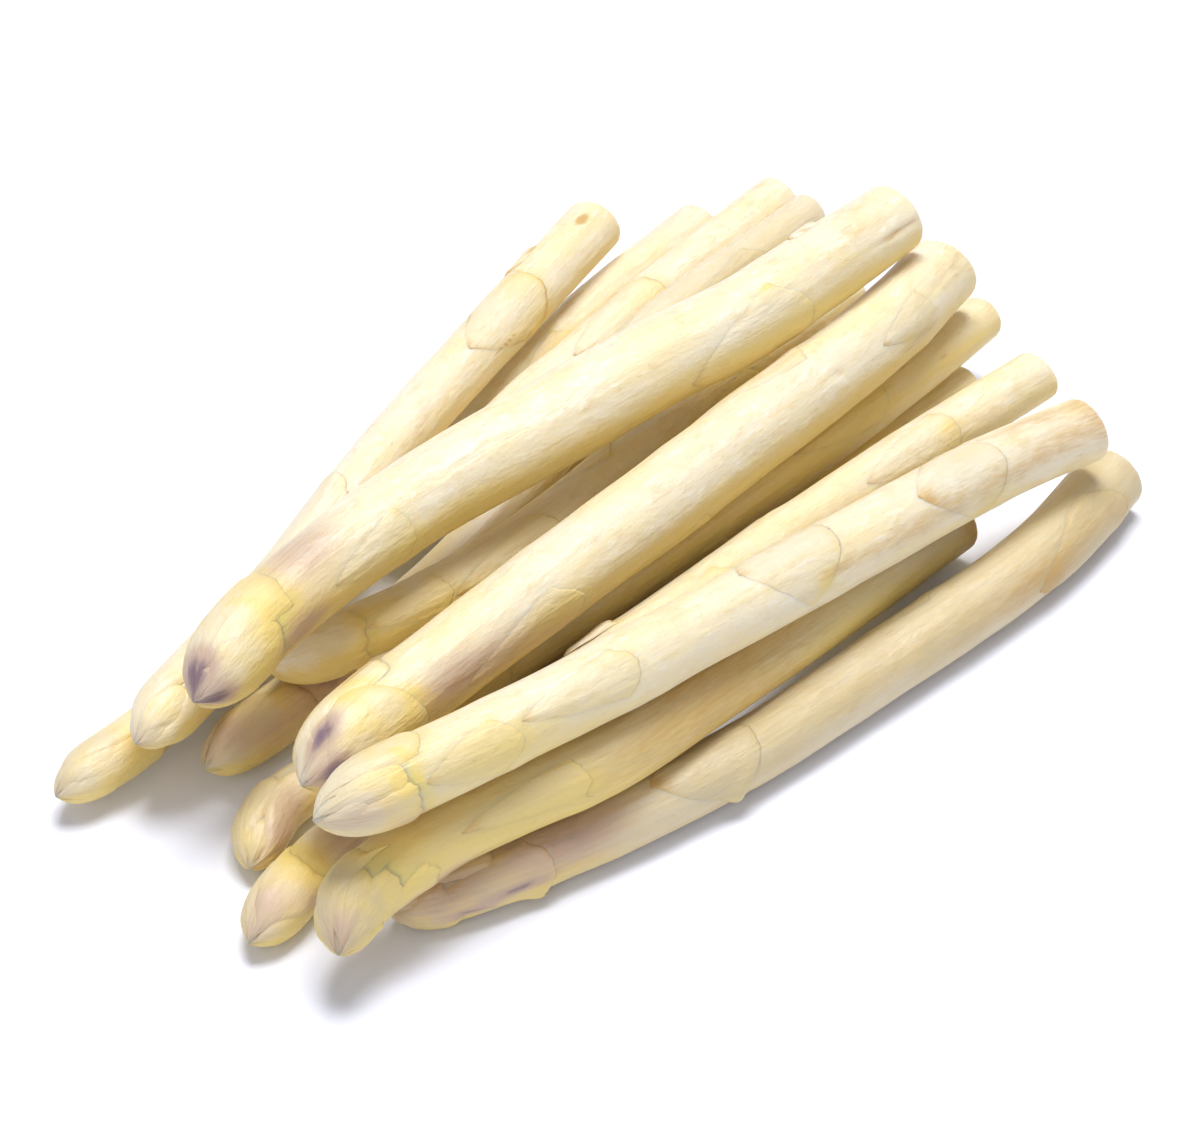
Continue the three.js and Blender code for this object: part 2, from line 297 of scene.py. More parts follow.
# How a scale leaf is shaped where a spear's own list says nothing else.
leafMake = {
    "spread": 60,            # degrees each way from its middle line, at its base
    "full": 1.3,             # higher: the sides stay wide for longer before they close
    "point": 0.85,           # lower: a blunter point
    "blunt": 1.0,            # half width of the point itself, degrees
    "bow": 6.0,              # how far its base line bows towards the butt
    "spur": (1.0, 1.0),      # how far its two corners stick out towards the butt
    "spurWide": 0.14,        # how wide they are, in its half widths
    "ragged": 0.03,          # unevenness of the sides
    "torn": 0.25,            # unevenness of the base line
    "thin": 0.02, "thick": 0.26,  # at its edge, and inside
    "rimWidth": 2.4,         # from its edge to where it is at its thickest
    "pointRim": 0.6,         # lower: its point is thin for longer
    "sink": 0.15,            # how deep its inner side lies in the stem
    "lift": (),              # where it stands off: (edge -1..1, share of length, reach, height)
    "liftWide": 0.5,         # how far that reaches across, in its half widths
    "edge": 0.3,             # brown of its dried edge
    "dryWidth": 0.9,         # how far that reaches in
    "glow": 0.2,             # yellow behind its base and on it
    "dull": 0.3,             # how much duller it is than the stem
    "pale": 0.0,             # how much of the stem's yellow it hides
    "paleBlush": 0.7,        # how much of the mauve it hides, for each part of the yellow
    "pointBlush": 0.0,       # mauve of its point
    "pointTan": 0.7,         # tan of its point, where it has dried
    "reaches": (0.4, 0.3, 0.2),  # of its yellow, mauve and tan, in shares of its length
    "grid": (33, 21),        # points across and along
    "crowd": 1.3,            # higher: they lie closer together at its base
}


def leafPatch(spear, leaf):
    # A scale leaf: a thin closed shell that lies on the stem. u runs across it from edge to
    # edge, v from its base to its point. Its half width shrinks towards the point as a
    # pointed arch; its base line bows towards the butt, and its two corners can stick out.
    # It is thickest inside and thins to its edges as a quarter of a sine wave. Its sides, its
    # base line and its dried edge wander by waves whose phases are drawn.
    nu, nv = leaf["grid"]
    draw = np.random.default_rng(leaf["seed"])
    phase = draw.uniform(0, 2 * np.pi, 6)
    vv, uu = np.meshgrid(np.linspace(0, 1, nv) ** leaf["crowd"],
                         np.sin(np.linspace(-np.pi / 2, np.pi / 2, nu)), indexing="ij")
    wide = leaf["spread"] * (1 - vv ** leaf["full"]) ** leaf["point"] + leaf["blunt"]
    sides = np.cos(vv * 9 + phase[0] + uu) + 0.6 * np.cos(vv * 23 + phase[1] - uu)
    wide = wide * (1 + leaf["ragged"] * sides)
    corner = np.where(uu < 0, *leaf["spur"]) * np.exp(-((1 - np.abs(uu)) / leaf["spurWide"]) ** 2)
    torn = (np.cos(uu * 6 + phase[2]) + 0.7 * np.cos(uu * 15 + phase[3])
            + 0.4 * np.cos(uu * 34 + phase[4]))
    base = leaf["at"] - leaf["bow"] * (1 - uu**2) - corner + leaf["torn"] * torn
    d = base + (leaf["at"] + leaf["span"] - base) * vv
    turn = leaf["turn"] + uu * wide
    side = (1 - np.abs(uu)) * np.radians(wide) * stemRadius(spear, d)
    toPoint = (1 - vv) * leaf["span"] * leaf["pointRim"] + 0.02
    rim = np.minimum(np.minimum(side, vv * leaf["span"]), toPoint)
    inside = np.clip(rim / leaf["rimWidth"], 0, 1)
    cover = leaf["thin"] + (leaf["thick"] - leaf["thin"]) * np.sin(np.pi / 2 * inside)
    lift = np.zeros_like(cover)
    for edge, place, reach, height in leaf["lift"]:
        lift += height * np.exp(-((uu - edge) / leaf["liftWide"]) ** 2 - ((vv - place) / reach) ** 2)
    # the inner side stays under the outer one, and both stay off the middle line
    ground = leaf["ground"](d, turn)
    outer = np.maximum(ground + cover + lift, 0.02)
    inner = np.maximum(np.minimum(ground + lift - leaf["sink"], outer - 0.05), 0.01)
    rows, columns = uu.shape
    count = rows * columns
    row, col, far = np.arange(rows - 1), np.arange(columns - 1), (rows - 1) * columns
    left, right = row * columns, row * columns + columns - 1
    quads = np.vstack([
        gridFaces(rows, columns, 0, False)[:, ::-1], gridFaces(rows, columns, count, False),
        np.stack([col, col + 1, col + 1 + count, col + count], -1),
        np.stack([far + col + 1, far + col, far + col + count, far + col + 1 + count], -1),
        np.stack([left + columns, left, left + count, left + columns + count], -1),
        np.stack([right, right + columns, right + columns + count, right + count], -1)])
    at, around = np.concatenate([d.ravel()] * 2), np.concatenate([turn.ravel()] * 2)
    fields = fieldsAt(spear, at, around)
    # its edge dries in patches, and its inner side more than its outer one
    patchy = 0.5 + 0.5 * np.cos(vv * 11 + phase[5] + 4 * uu)
    dry = leaf["edge"] * np.exp(-(rim / leaf["dryWidth"]) ** 2) * patchy
    fields["edge"] = np.concatenate([dry.ravel(), dry.ravel() + 0.5 * leaf["edge"]])
    yellowReach, blushReach, tanReach = leaf["reaches"]
    based = leaf["glow"] * np.exp(-(vv / yellowReach) ** 2)
    fields["yellow"] = fields["yellow"] * (1 - leaf["pale"]) + np.concatenate([based.ravel()] * 2)
    fields["tone"] = fields["tone"] + leaf["dull"]
    dried = leaf["pointTan"] * np.exp(-((1 - vv) / tanReach) ** 2)
    fields["tan"] = fields["tan"] + np.concatenate([dried.ravel()] * 2)
    blush = leaf["pointBlush"] * np.exp(-((1 - vv) / blushReach) ** 2)
    bared = 1 - leaf["paleBlush"] * leaf["pale"]
    fields["blush"] = fields["blush"] * bared + np.concatenate([blush.ravel()] * 2)
    return {"verts": np.vstack([skinPoint(spear, d, turn, outer).reshape(-1, 3),
                                skinPoint(spear, d, turn, inner).reshape(-1, 3)]),
            "quads": quads, "tris": np.zeros((0, 3), int), "fields": fields,
            "grain": grainAt(spear, at, around), "finish": np.ones(len(quads), int)}


# What a leaf on the head has of its own. spanShare is of the way from its base to the tip,
# and the other shares are of the neck's diameter.
headLeafMake = {
    "spread": 68, "full": 2.6, "point": 0.9, "spur": (0.4, 0.4), "thin": 0.0, "sink": 0.9,
    "edge": 0.2, "glow": 0.25, "dull": 0.0, "pale": 0.08, "pointBlush": 0.15, "pointTan": 0.0,
    "grid": (31, 23), "spanShare": 0.985, "bowShare": 0.22, "thickShare": 0.07, "rimShare": 0.16,
}


def leavesOf(spear):
    # The stem's scale leaves, then the head's: those the spear lists, and after them closer
    # and closer ones to the tip. Each head scale lies a little lower than the one before
    # it, so it tucks under it, and reaches the tip.
    length, neck = spear["line"]["length"], spear["girths"][2]
    leaves = []
    for at, turn, span, own in spear["scales"]:
        leaves.append({**leafMake, "at": at, "turn": turn, "span": span,
                       "ground": lambda d, t: stemHeight(spear, d, t), **own})
    spear["firstHead"] = len(leaves)
    listed = list(spear["head"])
    for rank in range(spearMake["headScales"]):
        if rank < len(listed):
            at, turn, own = listed[rank]
        else:
            at = length - (length - leaves[-1]["at"]) * spearMake["headShrink"]
            turn, own = leaves[-1]["turn"] + spearMake["goldenAngle"], {}
        tucked = 1 - spearMake["headTuck"] * rank
        leaves.append({**leafMake, **headLeafMake, "at": at, "turn": turn,
                       "span": (length - at) * headLeafMake["spanShare"],
                       "bow": headLeafMake["bowShare"] * neck,
                       "thick": headLeafMake["thickShare"] * neck,
                       "rimWidth": headLeafMake["rimShare"] * neck,
                       "pointBlush": spear.get("pointBlush", headLeafMake["pointBlush"]),
                       "ground": lambda d, t, tucked=tucked: stemRadius(spear, d) * tucked, **own})
    for number, leaf in enumerate(leaves):
        leaf["seed"] = spear["seed"] * 40 + number
    return leaves


def meshFrom(name, patchList, materials):
    # joins patches into one mesh object, in metres, with what the materials read
    mesh = bpy.data.meshes.new(name)
    faces, start = [], 0
    for patch in patchList:
        faces += (patch["quads"] + start).tolist() + (patch["tris"] + start).tolist()
        start += len(patch["verts"])
    mesh.from_pydata((np.vstack([p["verts"] for p in patchList]) * mm).tolist(), [], faces)
    for key in patchList[0]["fields"]:
        values = np.concatenate([p["fields"][key] for p in patchList])
        mesh.attributes.new(key, "FLOAT", "POINT").data.foreach_set("value", values.astype(np.float32))
    grain = np.vstack([p["grain"] for p in patchList]).astype(np.float32)
    mesh.attributes.new("grain", "FLOAT_VECTOR", "POINT").data.foreach_set("vector", grain.ravel())
    for material in materials:
        mesh.materials.append(material)
    finish = np.concatenate([p["finish"] for p in patchList]).astype(np.int32)
    mesh.polygons.foreach_set("material_index", finish)
    mesh.polygons.foreach_set("use_smooth", np.ones(len(mesh.polygons), bool))
    mesh.update()
    obj = bpy.data.objects.new(name, mesh)
    bpy.context.scene.collection.objects.link(obj)
    return obj


def linear(hexColour):
    # an sRGB hex colour as linear light, with alpha
    parts = [int(hexColour[k:k + 2], 16) / 255 for k in (1, 3, 5)]
    return [p / 12.92 if p <= 0.04045 else ((p + 0.055) / 1.055) ** 2.4 for p in parts] + [1.0]


def addNode(tree, kind, settings=None, links=None):
    # adds a node; settings are its own properties, links its inputs: a socket or a value
    node = tree.nodes.new(kind)
    for key, value in (settings or {}).items():
        setattr(node, key, value)
    for key, value in (links or {}).items():
        if isinstance(value, bpy.types.NodeSocket):
            tree.links.new(value, node.inputs[key])
        else:
            node.inputs[key].default_value = value
    return node


# Asparagus skin, blanched: grown in the dark, so it has no green; moist and waxy, so it
# shines softly; ivory, yellow in its folds, mauve where light has reached it.
skinLook = {
    "ivory": "#f1e5c9",
    # spots of the fibres' pattern, in mm: across the stem, along it, and their fineness; real
    # fibres lie about 0.3 mm apart, and are drawn coarser so that they show
    "grains": {"clouds": (9, 34, 2), "fibres": (0.8, 26, 3), "scuffs": (2.4, 7, 3), "mottle": (3.2, 6, 5),
               "specks": (0.6, 4.5, 2), "pores": (0.55, 1.1, 3)},
    "grainRoughness": 0.6,
    # colours laid over the ivory, one on another: the mesh's field that says where, the
    # grain that breaks it up, the values between which it comes in, and its most; a field is
    # multiplied by its grain, which is raised a little so that no field is lost in it
    "grainRaise": 0.5,
    "layers": [("#f3e0ae", None, "clouds", 0.4, 0.68, 0.75),
               ("#fbf5e4", None, "scuffs", 0.55, 0.68, 0.5),
               # duller skin where the tone says so; on some spears that tone is painted shade or painted
               # light
               ("#cdb98c", "tone", "clouds", 0.0, 1.1, 0.85),
               ("#ecd49a", None, "fibres", 0.52, 0.72, 0.3),
               ("#dcc48c", None, "mottle", 0.52, 0.72, 0.4),
               # the yellow: partly the skin's own, partly painted bounce light on the undersides and painted
               # shade along spears lying deep in the heap
               ("#efd378", "yellow", "clouds", 0.06, 1.2, 0.88),
               ("#d3ad60", None, "specks", 0.66, 0.74, 0.4),
               ("#c2a391", "blush", "fibres", 0.06, 1.0, 0.8),
               ("#6d5468", "blush", "scuffs", 0.95, 2.2, 0.85),
               # tan streaks and dried places; on the front under spear, also painted shade
               ("#d2ad66", "tan", "mottle", 0.35, 1.2, 0.6),
               ("#c99f55", "tan", "specks", 0.4, 1.0, 0.65),
               ("#cba052", "edge", "pores", 0.1, 1.0, 0.7)],
    "relief": {"fibres": 0.45, "mottle": 1.6},       # added to the scuffs' own, for the bump
    "bump": 0.0005, "bumpStrength": 0.55,            # bump in m
    "roughness": (0.36, 0.5), "roughBetween": (0.3, 0.7),        # values of the clouds
    "ior": 1.42, "shine": 0.85,
    # how much light goes into the flesh, how deep in mm, and what part of that for red, green
    # and blue: the red goes deepest, so thin places and edges glow warm
    "seeThrough": 0.5, "depth": 2.8, "scatter": (1.0, 0.72, 0.32),
}

# A scale leaf of it: a dry, papery skin over the stem, so it is duller than the stem.
leafLook = {**skinLook, "roughness": (0.42, 0.56), "seeThrough": 0.0, "bumpStrength": 0.65}


def makeFlesh(name, look):
    material = bpy.data.materials.new(name)
    material.use_nodes = True
    tree = material.node_tree
    tree.nodes.clear()
    grain = addNode(tree, "ShaderNodeAttribute", {"attribute_name": "grain"})
    noise = {}
    for kind, (across, along, fineness) in look["grains"].items():
        scaled = addNode(tree, "ShaderNodeMapping", {}, {"Vector": grain.outputs["Vector"],
                                                         "Scale": (1 / across, 1 / across, 1 / along)})
        noise[kind] = addNode(tree, "ShaderNodeTexNoise", {}, {
            "Vector": scaled.outputs[0], "Scale": 1.0, "Detail": fineness,
            "Roughness": look["grainRoughness"]}).outputs["Fac"]
    colour = linear(look["ivory"])
    for laid, field, broken, low, high, most in look["layers"]:
        amount = noise[broken]
        if field:
            where = addNode(tree, "ShaderNodeAttribute", {"attribute_name": field})
            raised = addNode(tree, "ShaderNodeMath", {"operation": "ADD"},
                             {0: amount, 1: look["grainRaise"]})
            amount = addNode(tree, "ShaderNodeMath", {"operation": "MULTIPLY"},
                             {0: where.outputs["Fac"], 1: raised.outputs[0]}).outputs[0]
        share = addNode(tree, "ShaderNodeMapRange", {"interpolation_type": "SMOOTHSTEP"}, {
            "Value": amount, "From Min": low, "From Max": high, "To Min": 0.0, "To Max": most})
        colour = addNode(tree, "ShaderNodeMix", {"data_type": "RGBA"},
                         {0: share.outputs[0], 6: colour, 7: linear(laid)}).outputs[2]
    rough = addNode(tree, "ShaderNodeMapRange", {}, {
        "Value": noise["clouds"],
        "From Min": look["roughBetween"][0], "From Max": look["roughBetween"][1],
        "To Min": look["roughness"][0], "To Max": look["roughness"][1]})
    relief = noise["scuffs"]
    for kind, weight in look["relief"].items():
        relief = addNode(tree, "ShaderNodeMath", {"operation": "MULTIPLY_ADD"},
                         {0: noise[kind], 1: weight, 2: relief}).outputs[0]
    bump = addNode(tree, "ShaderNodeBump", {}, {
        "Height": relief, "Distance": look["bump"], "Strength": look["bumpStrength"]})
    shader = addNode(tree, "ShaderNodeBsdfPrincipled", {"subsurface_method": "RANDOM_WALK"}, {
        "Base Color": colour, "Roughness": rough.outputs[0], "Normal": bump.outputs[0], "IOR": look["ior"],
        "Specular IOR Level": look["shine"],
        "Subsurface Weight": look["seeThrough"], "Subsurface Radius": look["scatter"],
        "Subsurface Scale": look["depth"] * mm})
    addNode(tree, "ShaderNodeOutputMaterial", {}, {"Surface": shader.outputs[0]})
    return material


# Cut asparagus flesh: a knife's cut across the fibres, dried a little, so it is matt, and
# the ends of the fibre strands show as small spots.
cutLook = {
    "flesh": "#efe3bb", "strand": "#d8b683", "dry": "#c9a566",
    # strands: how far apart in mm, between which shares of that they fade, and their most
    "strandGap": 1.5, "strandEdge": (0.12, 0.38), "strandMost": 0.6,
    # dry patches: their size in mm, their fineness, the values they come in between, their most
    "fine": 0.8, "fineness": 3.0, "dryBetween": (0.5, 0.8), "dryMost": 0.5,
    "roughness": 0.72, "ior": 1.4, "bump": 0.0003, "bumpStrength": 0.25,     # bump in m
}


def makeCutEnd(name, look):
    material = bpy.data.materials.new(name)
    material.use_nodes = True
    tree = material.node_tree
    tree.nodes.clear()
    grain = addNode(tree, "ShaderNodeAttribute", {"attribute_name": "grain"})
    scaled = addNode(tree, "ShaderNodeMapping", {}, {
        "Vector": grain.outputs["Vector"], "Scale": (1 / look["strandGap"], 1 / look["strandGap"], 0.0)})
    spots = addNode(tree, "ShaderNodeTexVoronoi", {"feature": "F1"},
                    {"Vector": scaled.outputs[0], "Scale": 1.0})
    strand = addNode(tree, "ShaderNodeMapRange", {}, {
        "Value": spots.outputs["Distance"],
        "From Min": look["strandEdge"][0], "From Max": look["strandEdge"][1],
        "To Min": look["strandMost"], "To Max": 0.0})
    colour = addNode(tree, "ShaderNodeMix", {"data_type": "RGBA"}, {
        0: strand.outputs[0], 6: linear(look["flesh"]), 7: linear(look["strand"])})
    fine = addNode(tree, "ShaderNodeTexNoise", {}, {
        "Vector": grain.outputs["Vector"], "Scale": 1 / look["fine"], "Detail": look["fineness"]})
    dryness = addNode(tree, "ShaderNodeMapRange", {}, {
        "Value": fine.outputs["Fac"],
        "From Min": look["dryBetween"][0], "From Max": look["dryBetween"][1],
        "To Min": 0.0, "To Max": look["dryMost"]})
    colour = addNode(tree, "ShaderNodeMix", {"data_type": "RGBA"}, {
        0: dryness.outputs[0], 6: colour.outputs[2], 7: linear(look["dry"])})
    bump = addNode(tree, "ShaderNodeBump", {}, {
        "Height": spots.outputs["Distance"], "Distance": look["bump"], "Strength": look["bumpStrength"]})
    shader = addNode(tree, "ShaderNodeBsdfPrincipled", {}, {
        "Base Color": colour.outputs[2], "Roughness": look["roughness"], "Normal": bump.outputs[0],
        "IOR": look["ior"]})
    addNode(tree, "ShaderNodeOutputMaterial", {}, {"Surface": shader.outputs[0]})
    return material


finishes = [makeFlesh("blanched asparagus skin, washed", skinLook),
            makeFlesh("blanched asparagus scale leaf, papery", leafLook),
            makeCutEnd("asparagus cut end, knife-cut and dried", cutLook)]
print("materials made:", len(finishes))


# How the heap lies in the frame: the CAD part moves it by this much, so that its middle
# comes over the origin. The spears' places below are given as they are before that.
heapLay = {"shift": (-9.81, -13.49)}


def layOut(node, spear):
    # Makes a spear where its CAD node lies: the middle line is shifted with the heap, and
    # lifted until its tip is at the node's tip. Then the skin and the leaves are worked out.
    line = spear["line"] = middleLine(spear["places"])
    line["points"][:, :2] += heapLay["shift"]
    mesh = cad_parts[node].data
    solid = np.zeros(len(mesh.vertices) * 3)
    mesh.vertices.foreach_get("co", solid)
    solid = solid.reshape(-1, 3) / mm
    tip = line["points"][-1]
    nearest = np.argmin(np.hypot(solid[:, 0] - tip[0], solid[:, 1] - tip[1]))
    lift = solid[nearest, 2] - tip[2]
    line["points"][:, 2] += lift
    spear["leaves"] = leavesOf(spear)
    patchList = [skinPatch(spear)] + [leafPatch(spear, leaf) for leaf in spear["leaves"]]
    piece = meshFrom(node.replace("spear_", "asparagus_"), patchList, finishes)
    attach(piece, "root")
    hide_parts(node)
    print(f"{node}: {line['length']:.0f} mm long, lifted {lift:.2f} mm, {len(piece.data.polygons)} faces")
    return piece


# Each spear. seed: of its waves and leaves. girths, cut and places: as the CAD part has them.
# scales: the leaves on the stem, as (distance from the butt, turn, length, what it has of its
# own), and head: the first of those on the head, the same without a length. Every other list
# holds soft bumps, as (distance, turn, size along, size round, strength).
frontFloor = {
    "seed": 1, "girths": (16, 15, 12), "cut": (4, 0),
    "places": [(119.3, -51.9, 8), (85, -56, 7.5), (33, -53, 7.2), (-20, -47, 6.9), (-67, -34.5, 6.3),
               (-90.4, -24.7, 6)],
    "scales": [(20, 87, 24, {"spread": 88, "bow": 11, "edge": 0.7, "glow": 0.15}),
               (70, -80, 30, {}),
               (138, 6, 15, {"spread": 102, "bow": 12, "spur": (1, 3.4), "lift": [(1, 0.05, 0.12, 1.3)],
                             "edge": 0.4, "thick": 0.4, "glow": 0.1}),
               (184, 62, 25, {"spread": 66, "bow": 5, "spur": (1, 3), "lift": [(1, 0.05, 0.1, 1.1)],
                              "thick": 0.5, "rimWidth": 1.6, "edge": 0.5})],
    "head": [(192, -40, {}), (203, 95, {"spread": 80, "bow": 4, "glow": 0.5})],
    # its tone is partly its own duller, greyer skin and partly painted shade from the spears that lie over it
    "tone": 0.75, "buttTan": 0.2, "paintedBounceYellow": 0.3, "tipBlush": 0.1,
    "tan": [(16, 40, 20, 60, 0.3), (42, 70, 22, 40, 0.45), (90, 40, 70, 90, 0.5), (10, 90, 8, 30, 0.3)],
    "blush": [(176, 16, 17, 66, 1.25), (188, 78, 6, 8, 1.5), (198, 92, 5, 9, 1.5), (204, 40, 9, 60, 0.9)],
    "yellow": [(176, 84, 9, 10, 0.4), (201, 80, 2.2, 40, 0.7)],
}
layOut("spear_front_floor", frontFloor)

frontCrossing = {
    "seed": 2, "girths": (12, 12, 12),
    "places": [(88, -19, 6), (30, -17, 6), (-40, -10, 6), (-86, -4, 5.8), (-115.1, -10.4, 5.6)],
    "scales": [(50, 60, 26, {}), (105, -80, 28, {}), (150, 30, 24, {})],
    "head": [(181, 20, {"spread": 75, "bow": -4, "glow": 0.5, "thick": 0.6}),
             (178, 125, {"spread": 60, "thick": 0.6}), (187, -70, {})],
    "tone": 0.3, "blush": [(172, 30, 9, 60, 0.9), (197, 10, 6, 50, 0.8), (190, 75, 4, 25, 0.7)],
    "yellow": [(183, 20, 4, 50, 1.0)],
}
layOut("spear_front_crossing", frontCrossing)

middleInner = {
    "seed": 3, "girths": (11, 11, 11),
    "places": [(124.7, -4.2, 5.5), (60, 0, 5.5), (0, 2, 5.4), (-50, 9, 5.4), (-84.1, 13.9, 5.3),
               (-100.7, 4.8, 5.3)],
    "scales": [(55, -30, 26, {}), (115, 110, 28, {}), (165, 20, 24, {})],
    "head": [(203, 60, {}), (210, -50, {})],
    # the first yellow bump, broad along its stem, is painted shade: warm bounced light down in the heap
    "tone": 0.5, "tan": [(20, 20, 30, 80, 0.3)], "yellow": [(60, 30, 60, 120, 1.0), (226, 20, 4, 90, 0.5)],
    "blush": [(212, 50, 8, 50, 0.8), (222, 60, 5, 40, 0.7)],
}
layOut("spear_middle_inner", middleInner)

rearUnder = {
    "seed": 4, "girths": (10.5, 10.5, 10),
    "places": [(130, 79, 5), (95, 65, 5), (40, 43, 5), (0, 27, 4.8), (-28, 17, 4.6)],
    "scales": [(40, 30, 24, {}), (85, 170, 26, {}), (120, -40, 22, {})],
    "head": [(145, 30, {})],
    # the broad yellow along its stem is painted shade: warm bounced light down in the heap
    "tone": 0.5, "yellow": [(60, 30, 60, 120, 0.5)],
}
layOut("spear_rear_under", rearUnder)

frontInner = {
    "seed": 5, "girths": (12.5, 12.5, 12), "cut": (10, 0),
    "places": [(125.1, -24.7, 19.8), (97.2, -22.2, 19.8), (46, -19, 19.8), (-60, -16, 19.8)],
    "scales": [(37, 40, 26, {"spread": 62, "bow": 4}), (90, -100, 28, {}), (110, 60, 24, {}),
               (137, -48, 13, {"spread": 26, "full": 3, "bow": 1, "thick": 0.9, "rimWidth": 1.2, "pale": 0.7,
                               "lift": [(1, 0.6, 0.5, 0.5)], "glow": 0.4})],
    "head": [(158, 20, {})],
    "tone": 0.12, "yellow": [(36, 30, 3, 16, 0.5), (100, 20, 60, 90, 0.5)],
}
layOut("spear_front_inner", frontInner)

middleFloor = {
    "seed": 6, "girths": (11.5, 11.5, 11), "cut": (4, 0),
    "places": [(135.3, 0, 18.1), (95, -2, 18.1), (64, -2.5, 18.1), (0, -1, 18.1), (-60, 1, 18.1)],
    "scales": [(50, 20, 26, {}), (105, 140, 28, {}), (140, -60, 24, {})],
    "head": [(170, 30, {})],
    # the broad yellow along its stem is painted shade: warm bounced light down in the heap
    "tone": 0.2, "tan": [(8, 20, 10, 60, 0.35), (24, 50, 3, 8, 0.7)], "yellow": [(80, 40, 90, 200, 1.0)],
}
layOut("spear_middle_floor", middleFloor)

rearFloor = {
    "seed": 7, "girths": (12.4, 11.8, 10.8), "cut": (8, -20),
    "places": [(118.4, 75.4, 16.8), (78, 73, 15.3), (47, 69, 14), (0, 62.5, 12), (-60, 53, 8),
               (-90, 48, 8), (-116, 47.8, 8)],
    "scales": [(62, 70, 26, {}), (115, -70, 28, {}), (165, 40, 26, {})],
    "head": [(206, -30, {}), (212, 70, {"thick": 0.55, "edge": 0.6, "glow": 0.4}), (221, 10, {})],
    "tone": 0.25, "yellow": [(60, 60, 60, 60, 0.4), (212, 40, 8, 60, 0.6)], "tan": [(209, 30, 3, 40, 0.8)],
    "blush": [(220, 20, 6, 60, 0.35)], "pointBlush": 0.12,
}
layOut("spear_rear_floor", rearFloor)

rearMiddle = {
    "seed": 8, "girths": (13.8, 12, 11.5),
    "places": [(133.2, 63, 22.7), (93.5, 61.1, 21.8), (60, 58.2, 20.9), (33, 55.5, 20.7), (0, 50, 17.8),
               (-14, 48, 17)],
    "scales": [(56, 25, 28, {"spread": 82, "bow": 6, "edge": 0.5, "glow": 0.4}), (100, 130, 20, {})],
    "head": [(128, 0, {})],
    "yellow": [(54, 30, 8, 60, 0.3)],
}
layOut("spear_rear_middle", rearMiddle)

rearInner = {
    "seed": 9, "girths": (11.2, 11.5, 12),
    "places": [(130.1, 50.5, 26.5), (108, 49.5, 26.5), (67, 46.8, 27), (30, 41, 20), (0, 36, 14),
               (-40, 33.5, 8.5), (-88.9, 31.6, 8)],
    "scales": [(30, 70, 24, {}), (80, -20, 24, {}), (160, 60, 20, {})],
    "head": [(196, 60, {"spread": 70, "glow": 0.4}),
             (195, -40, {"spread": 14, "full": 4, "bow": 1, "thick": 0.8, "rimWidth": 1.0, "pale": 0.4}),
             (203, 0, {})],
    "tone": 0.5, "blush": [(192, 40, 9, 80, 0.9), (186, 30, 4, 40, 1.4), (206, 60, 8, 40, 0.7),
                           (214, 0, 5, 50, 0.8)], "tan": [(204, 40, 12, 90, 0.4)],
    "yellow": [(199, 60, 3, 60, 0.9)],
}
layOut("spear_rear_inner", rearInner)

slimUpper = {
    "seed": 10, "girths": (12.5, 12.5, 12.4),
    "places": [(117.6, 26.8, 21), (86.6, 26.1, 21), (61.8, 26, 21), (24.7, 23, 21), (-2.5, 21.8, 21),
               (-28.8, 23.5, 21.4), (-51.4, 28.1, 21.2), (-67.8, 34.6, 20.9)],
    "scales": [(45, 100, 24, {}), (90, -60, 24, {}), (118, 60, 26, {}),
               (147, 40, 18, {"spread": 40, "bow": 3}),
               (159, 116, 11, {"spread": 10, "full": 4, "bow": 0.5, "thick": 1.3, "rimWidth": 0.8,
                               "pale": 0.8})],
    "head": [(168, 40, {"spread": 88, "bow": 2.5, "torn": 0.7, "thick": 0.6, "spur": (1, 2),
                        "glow": 0.4}),
             (172, 150, {}), (176, -60, {})],
    # its tone below 0 is painted light: it keeps this spear pale though it lies in the top rear spear's shade
    "tone": -0.4, "tipBlush": 0.0, "pointBlush": 0.0,
    "blush": [(120, -10, 22, 60, 0.3), (142, 20, 12, 40, 0.2)],
    # the broad yellow along it is painted bounce light from the spears around it, and the yellow taken off
    # its head is painted light that keeps the head pale
    "yellow": [(162, 15, 7, 32, 0.5), (80, 20, 75, 200, 0.6), (184, 40, 14, 200, -0.5)],
}
layOut("spear_slim_upper", slimUpper)

topMiddle = {
    "seed": 11, "girths": (17.8, 18.8, 16.6), "cut": (10, -20),
    "places": [(126, 6, 34.5), (97.8, 1.3, 34.7), (39.8, -1.2, 34.7), (-39, -3, 34.5), (-80, -4, 33),
               (-94.1, -6, 32.2)],
    "scales": [(24, 52, 16, {"spread": 30, "bow": 3}), (60, -60, 30, {}), (105, 160, 32, {}),
               (152, 86, 27, {"spread": 42, "bow": 8, "edge": 0.2, "glow": 0.1})],
    "head": [(200, 96, {"spread": 125, "bow": 9, "glow": 0.4, "thick": 0.7}),
             (192, -75, {"spread": 70, "edge": 0.9}), (207, 20, {"thick": 0.5})],
    "tone": 0.15,
    "dents": [(17, 42, 3, 8, -0.3), (20, 38, 2, 5, 0.25), (55, 45, 2.4, 7, -0.35), (58, 52, 1.2, 4, 0.3),
              (182, 62, 1.6, 6, 0.3)],
    "blush": [(172, 72, 16, 34, 0.7), (184, 60, 9, 36, 0.5), (150, 104, 22, 22, 0.45),
              (212, -4, 4.4, 20, 2.2), (215.5, 62, 3.6, 26, 2.2)],
    "yellow": [(191, 66, 3.5, 36, 0.9), (202, -20, 4, 24, 0.6), (32, 70, 2.5, 7, 0.5), (182, 64, 2, 5, 0.7),
               (207, 30, 4, 16, 0.6)],
    "tan": [(12, 40, 14, 50, 0.5), (55, 45, 3, 9, 0.6), (30, 80, 12, 14, 0.6), (196, -38, 8, 5, 1.2)],
}
layOut("spear_top_middle", topMiddle)

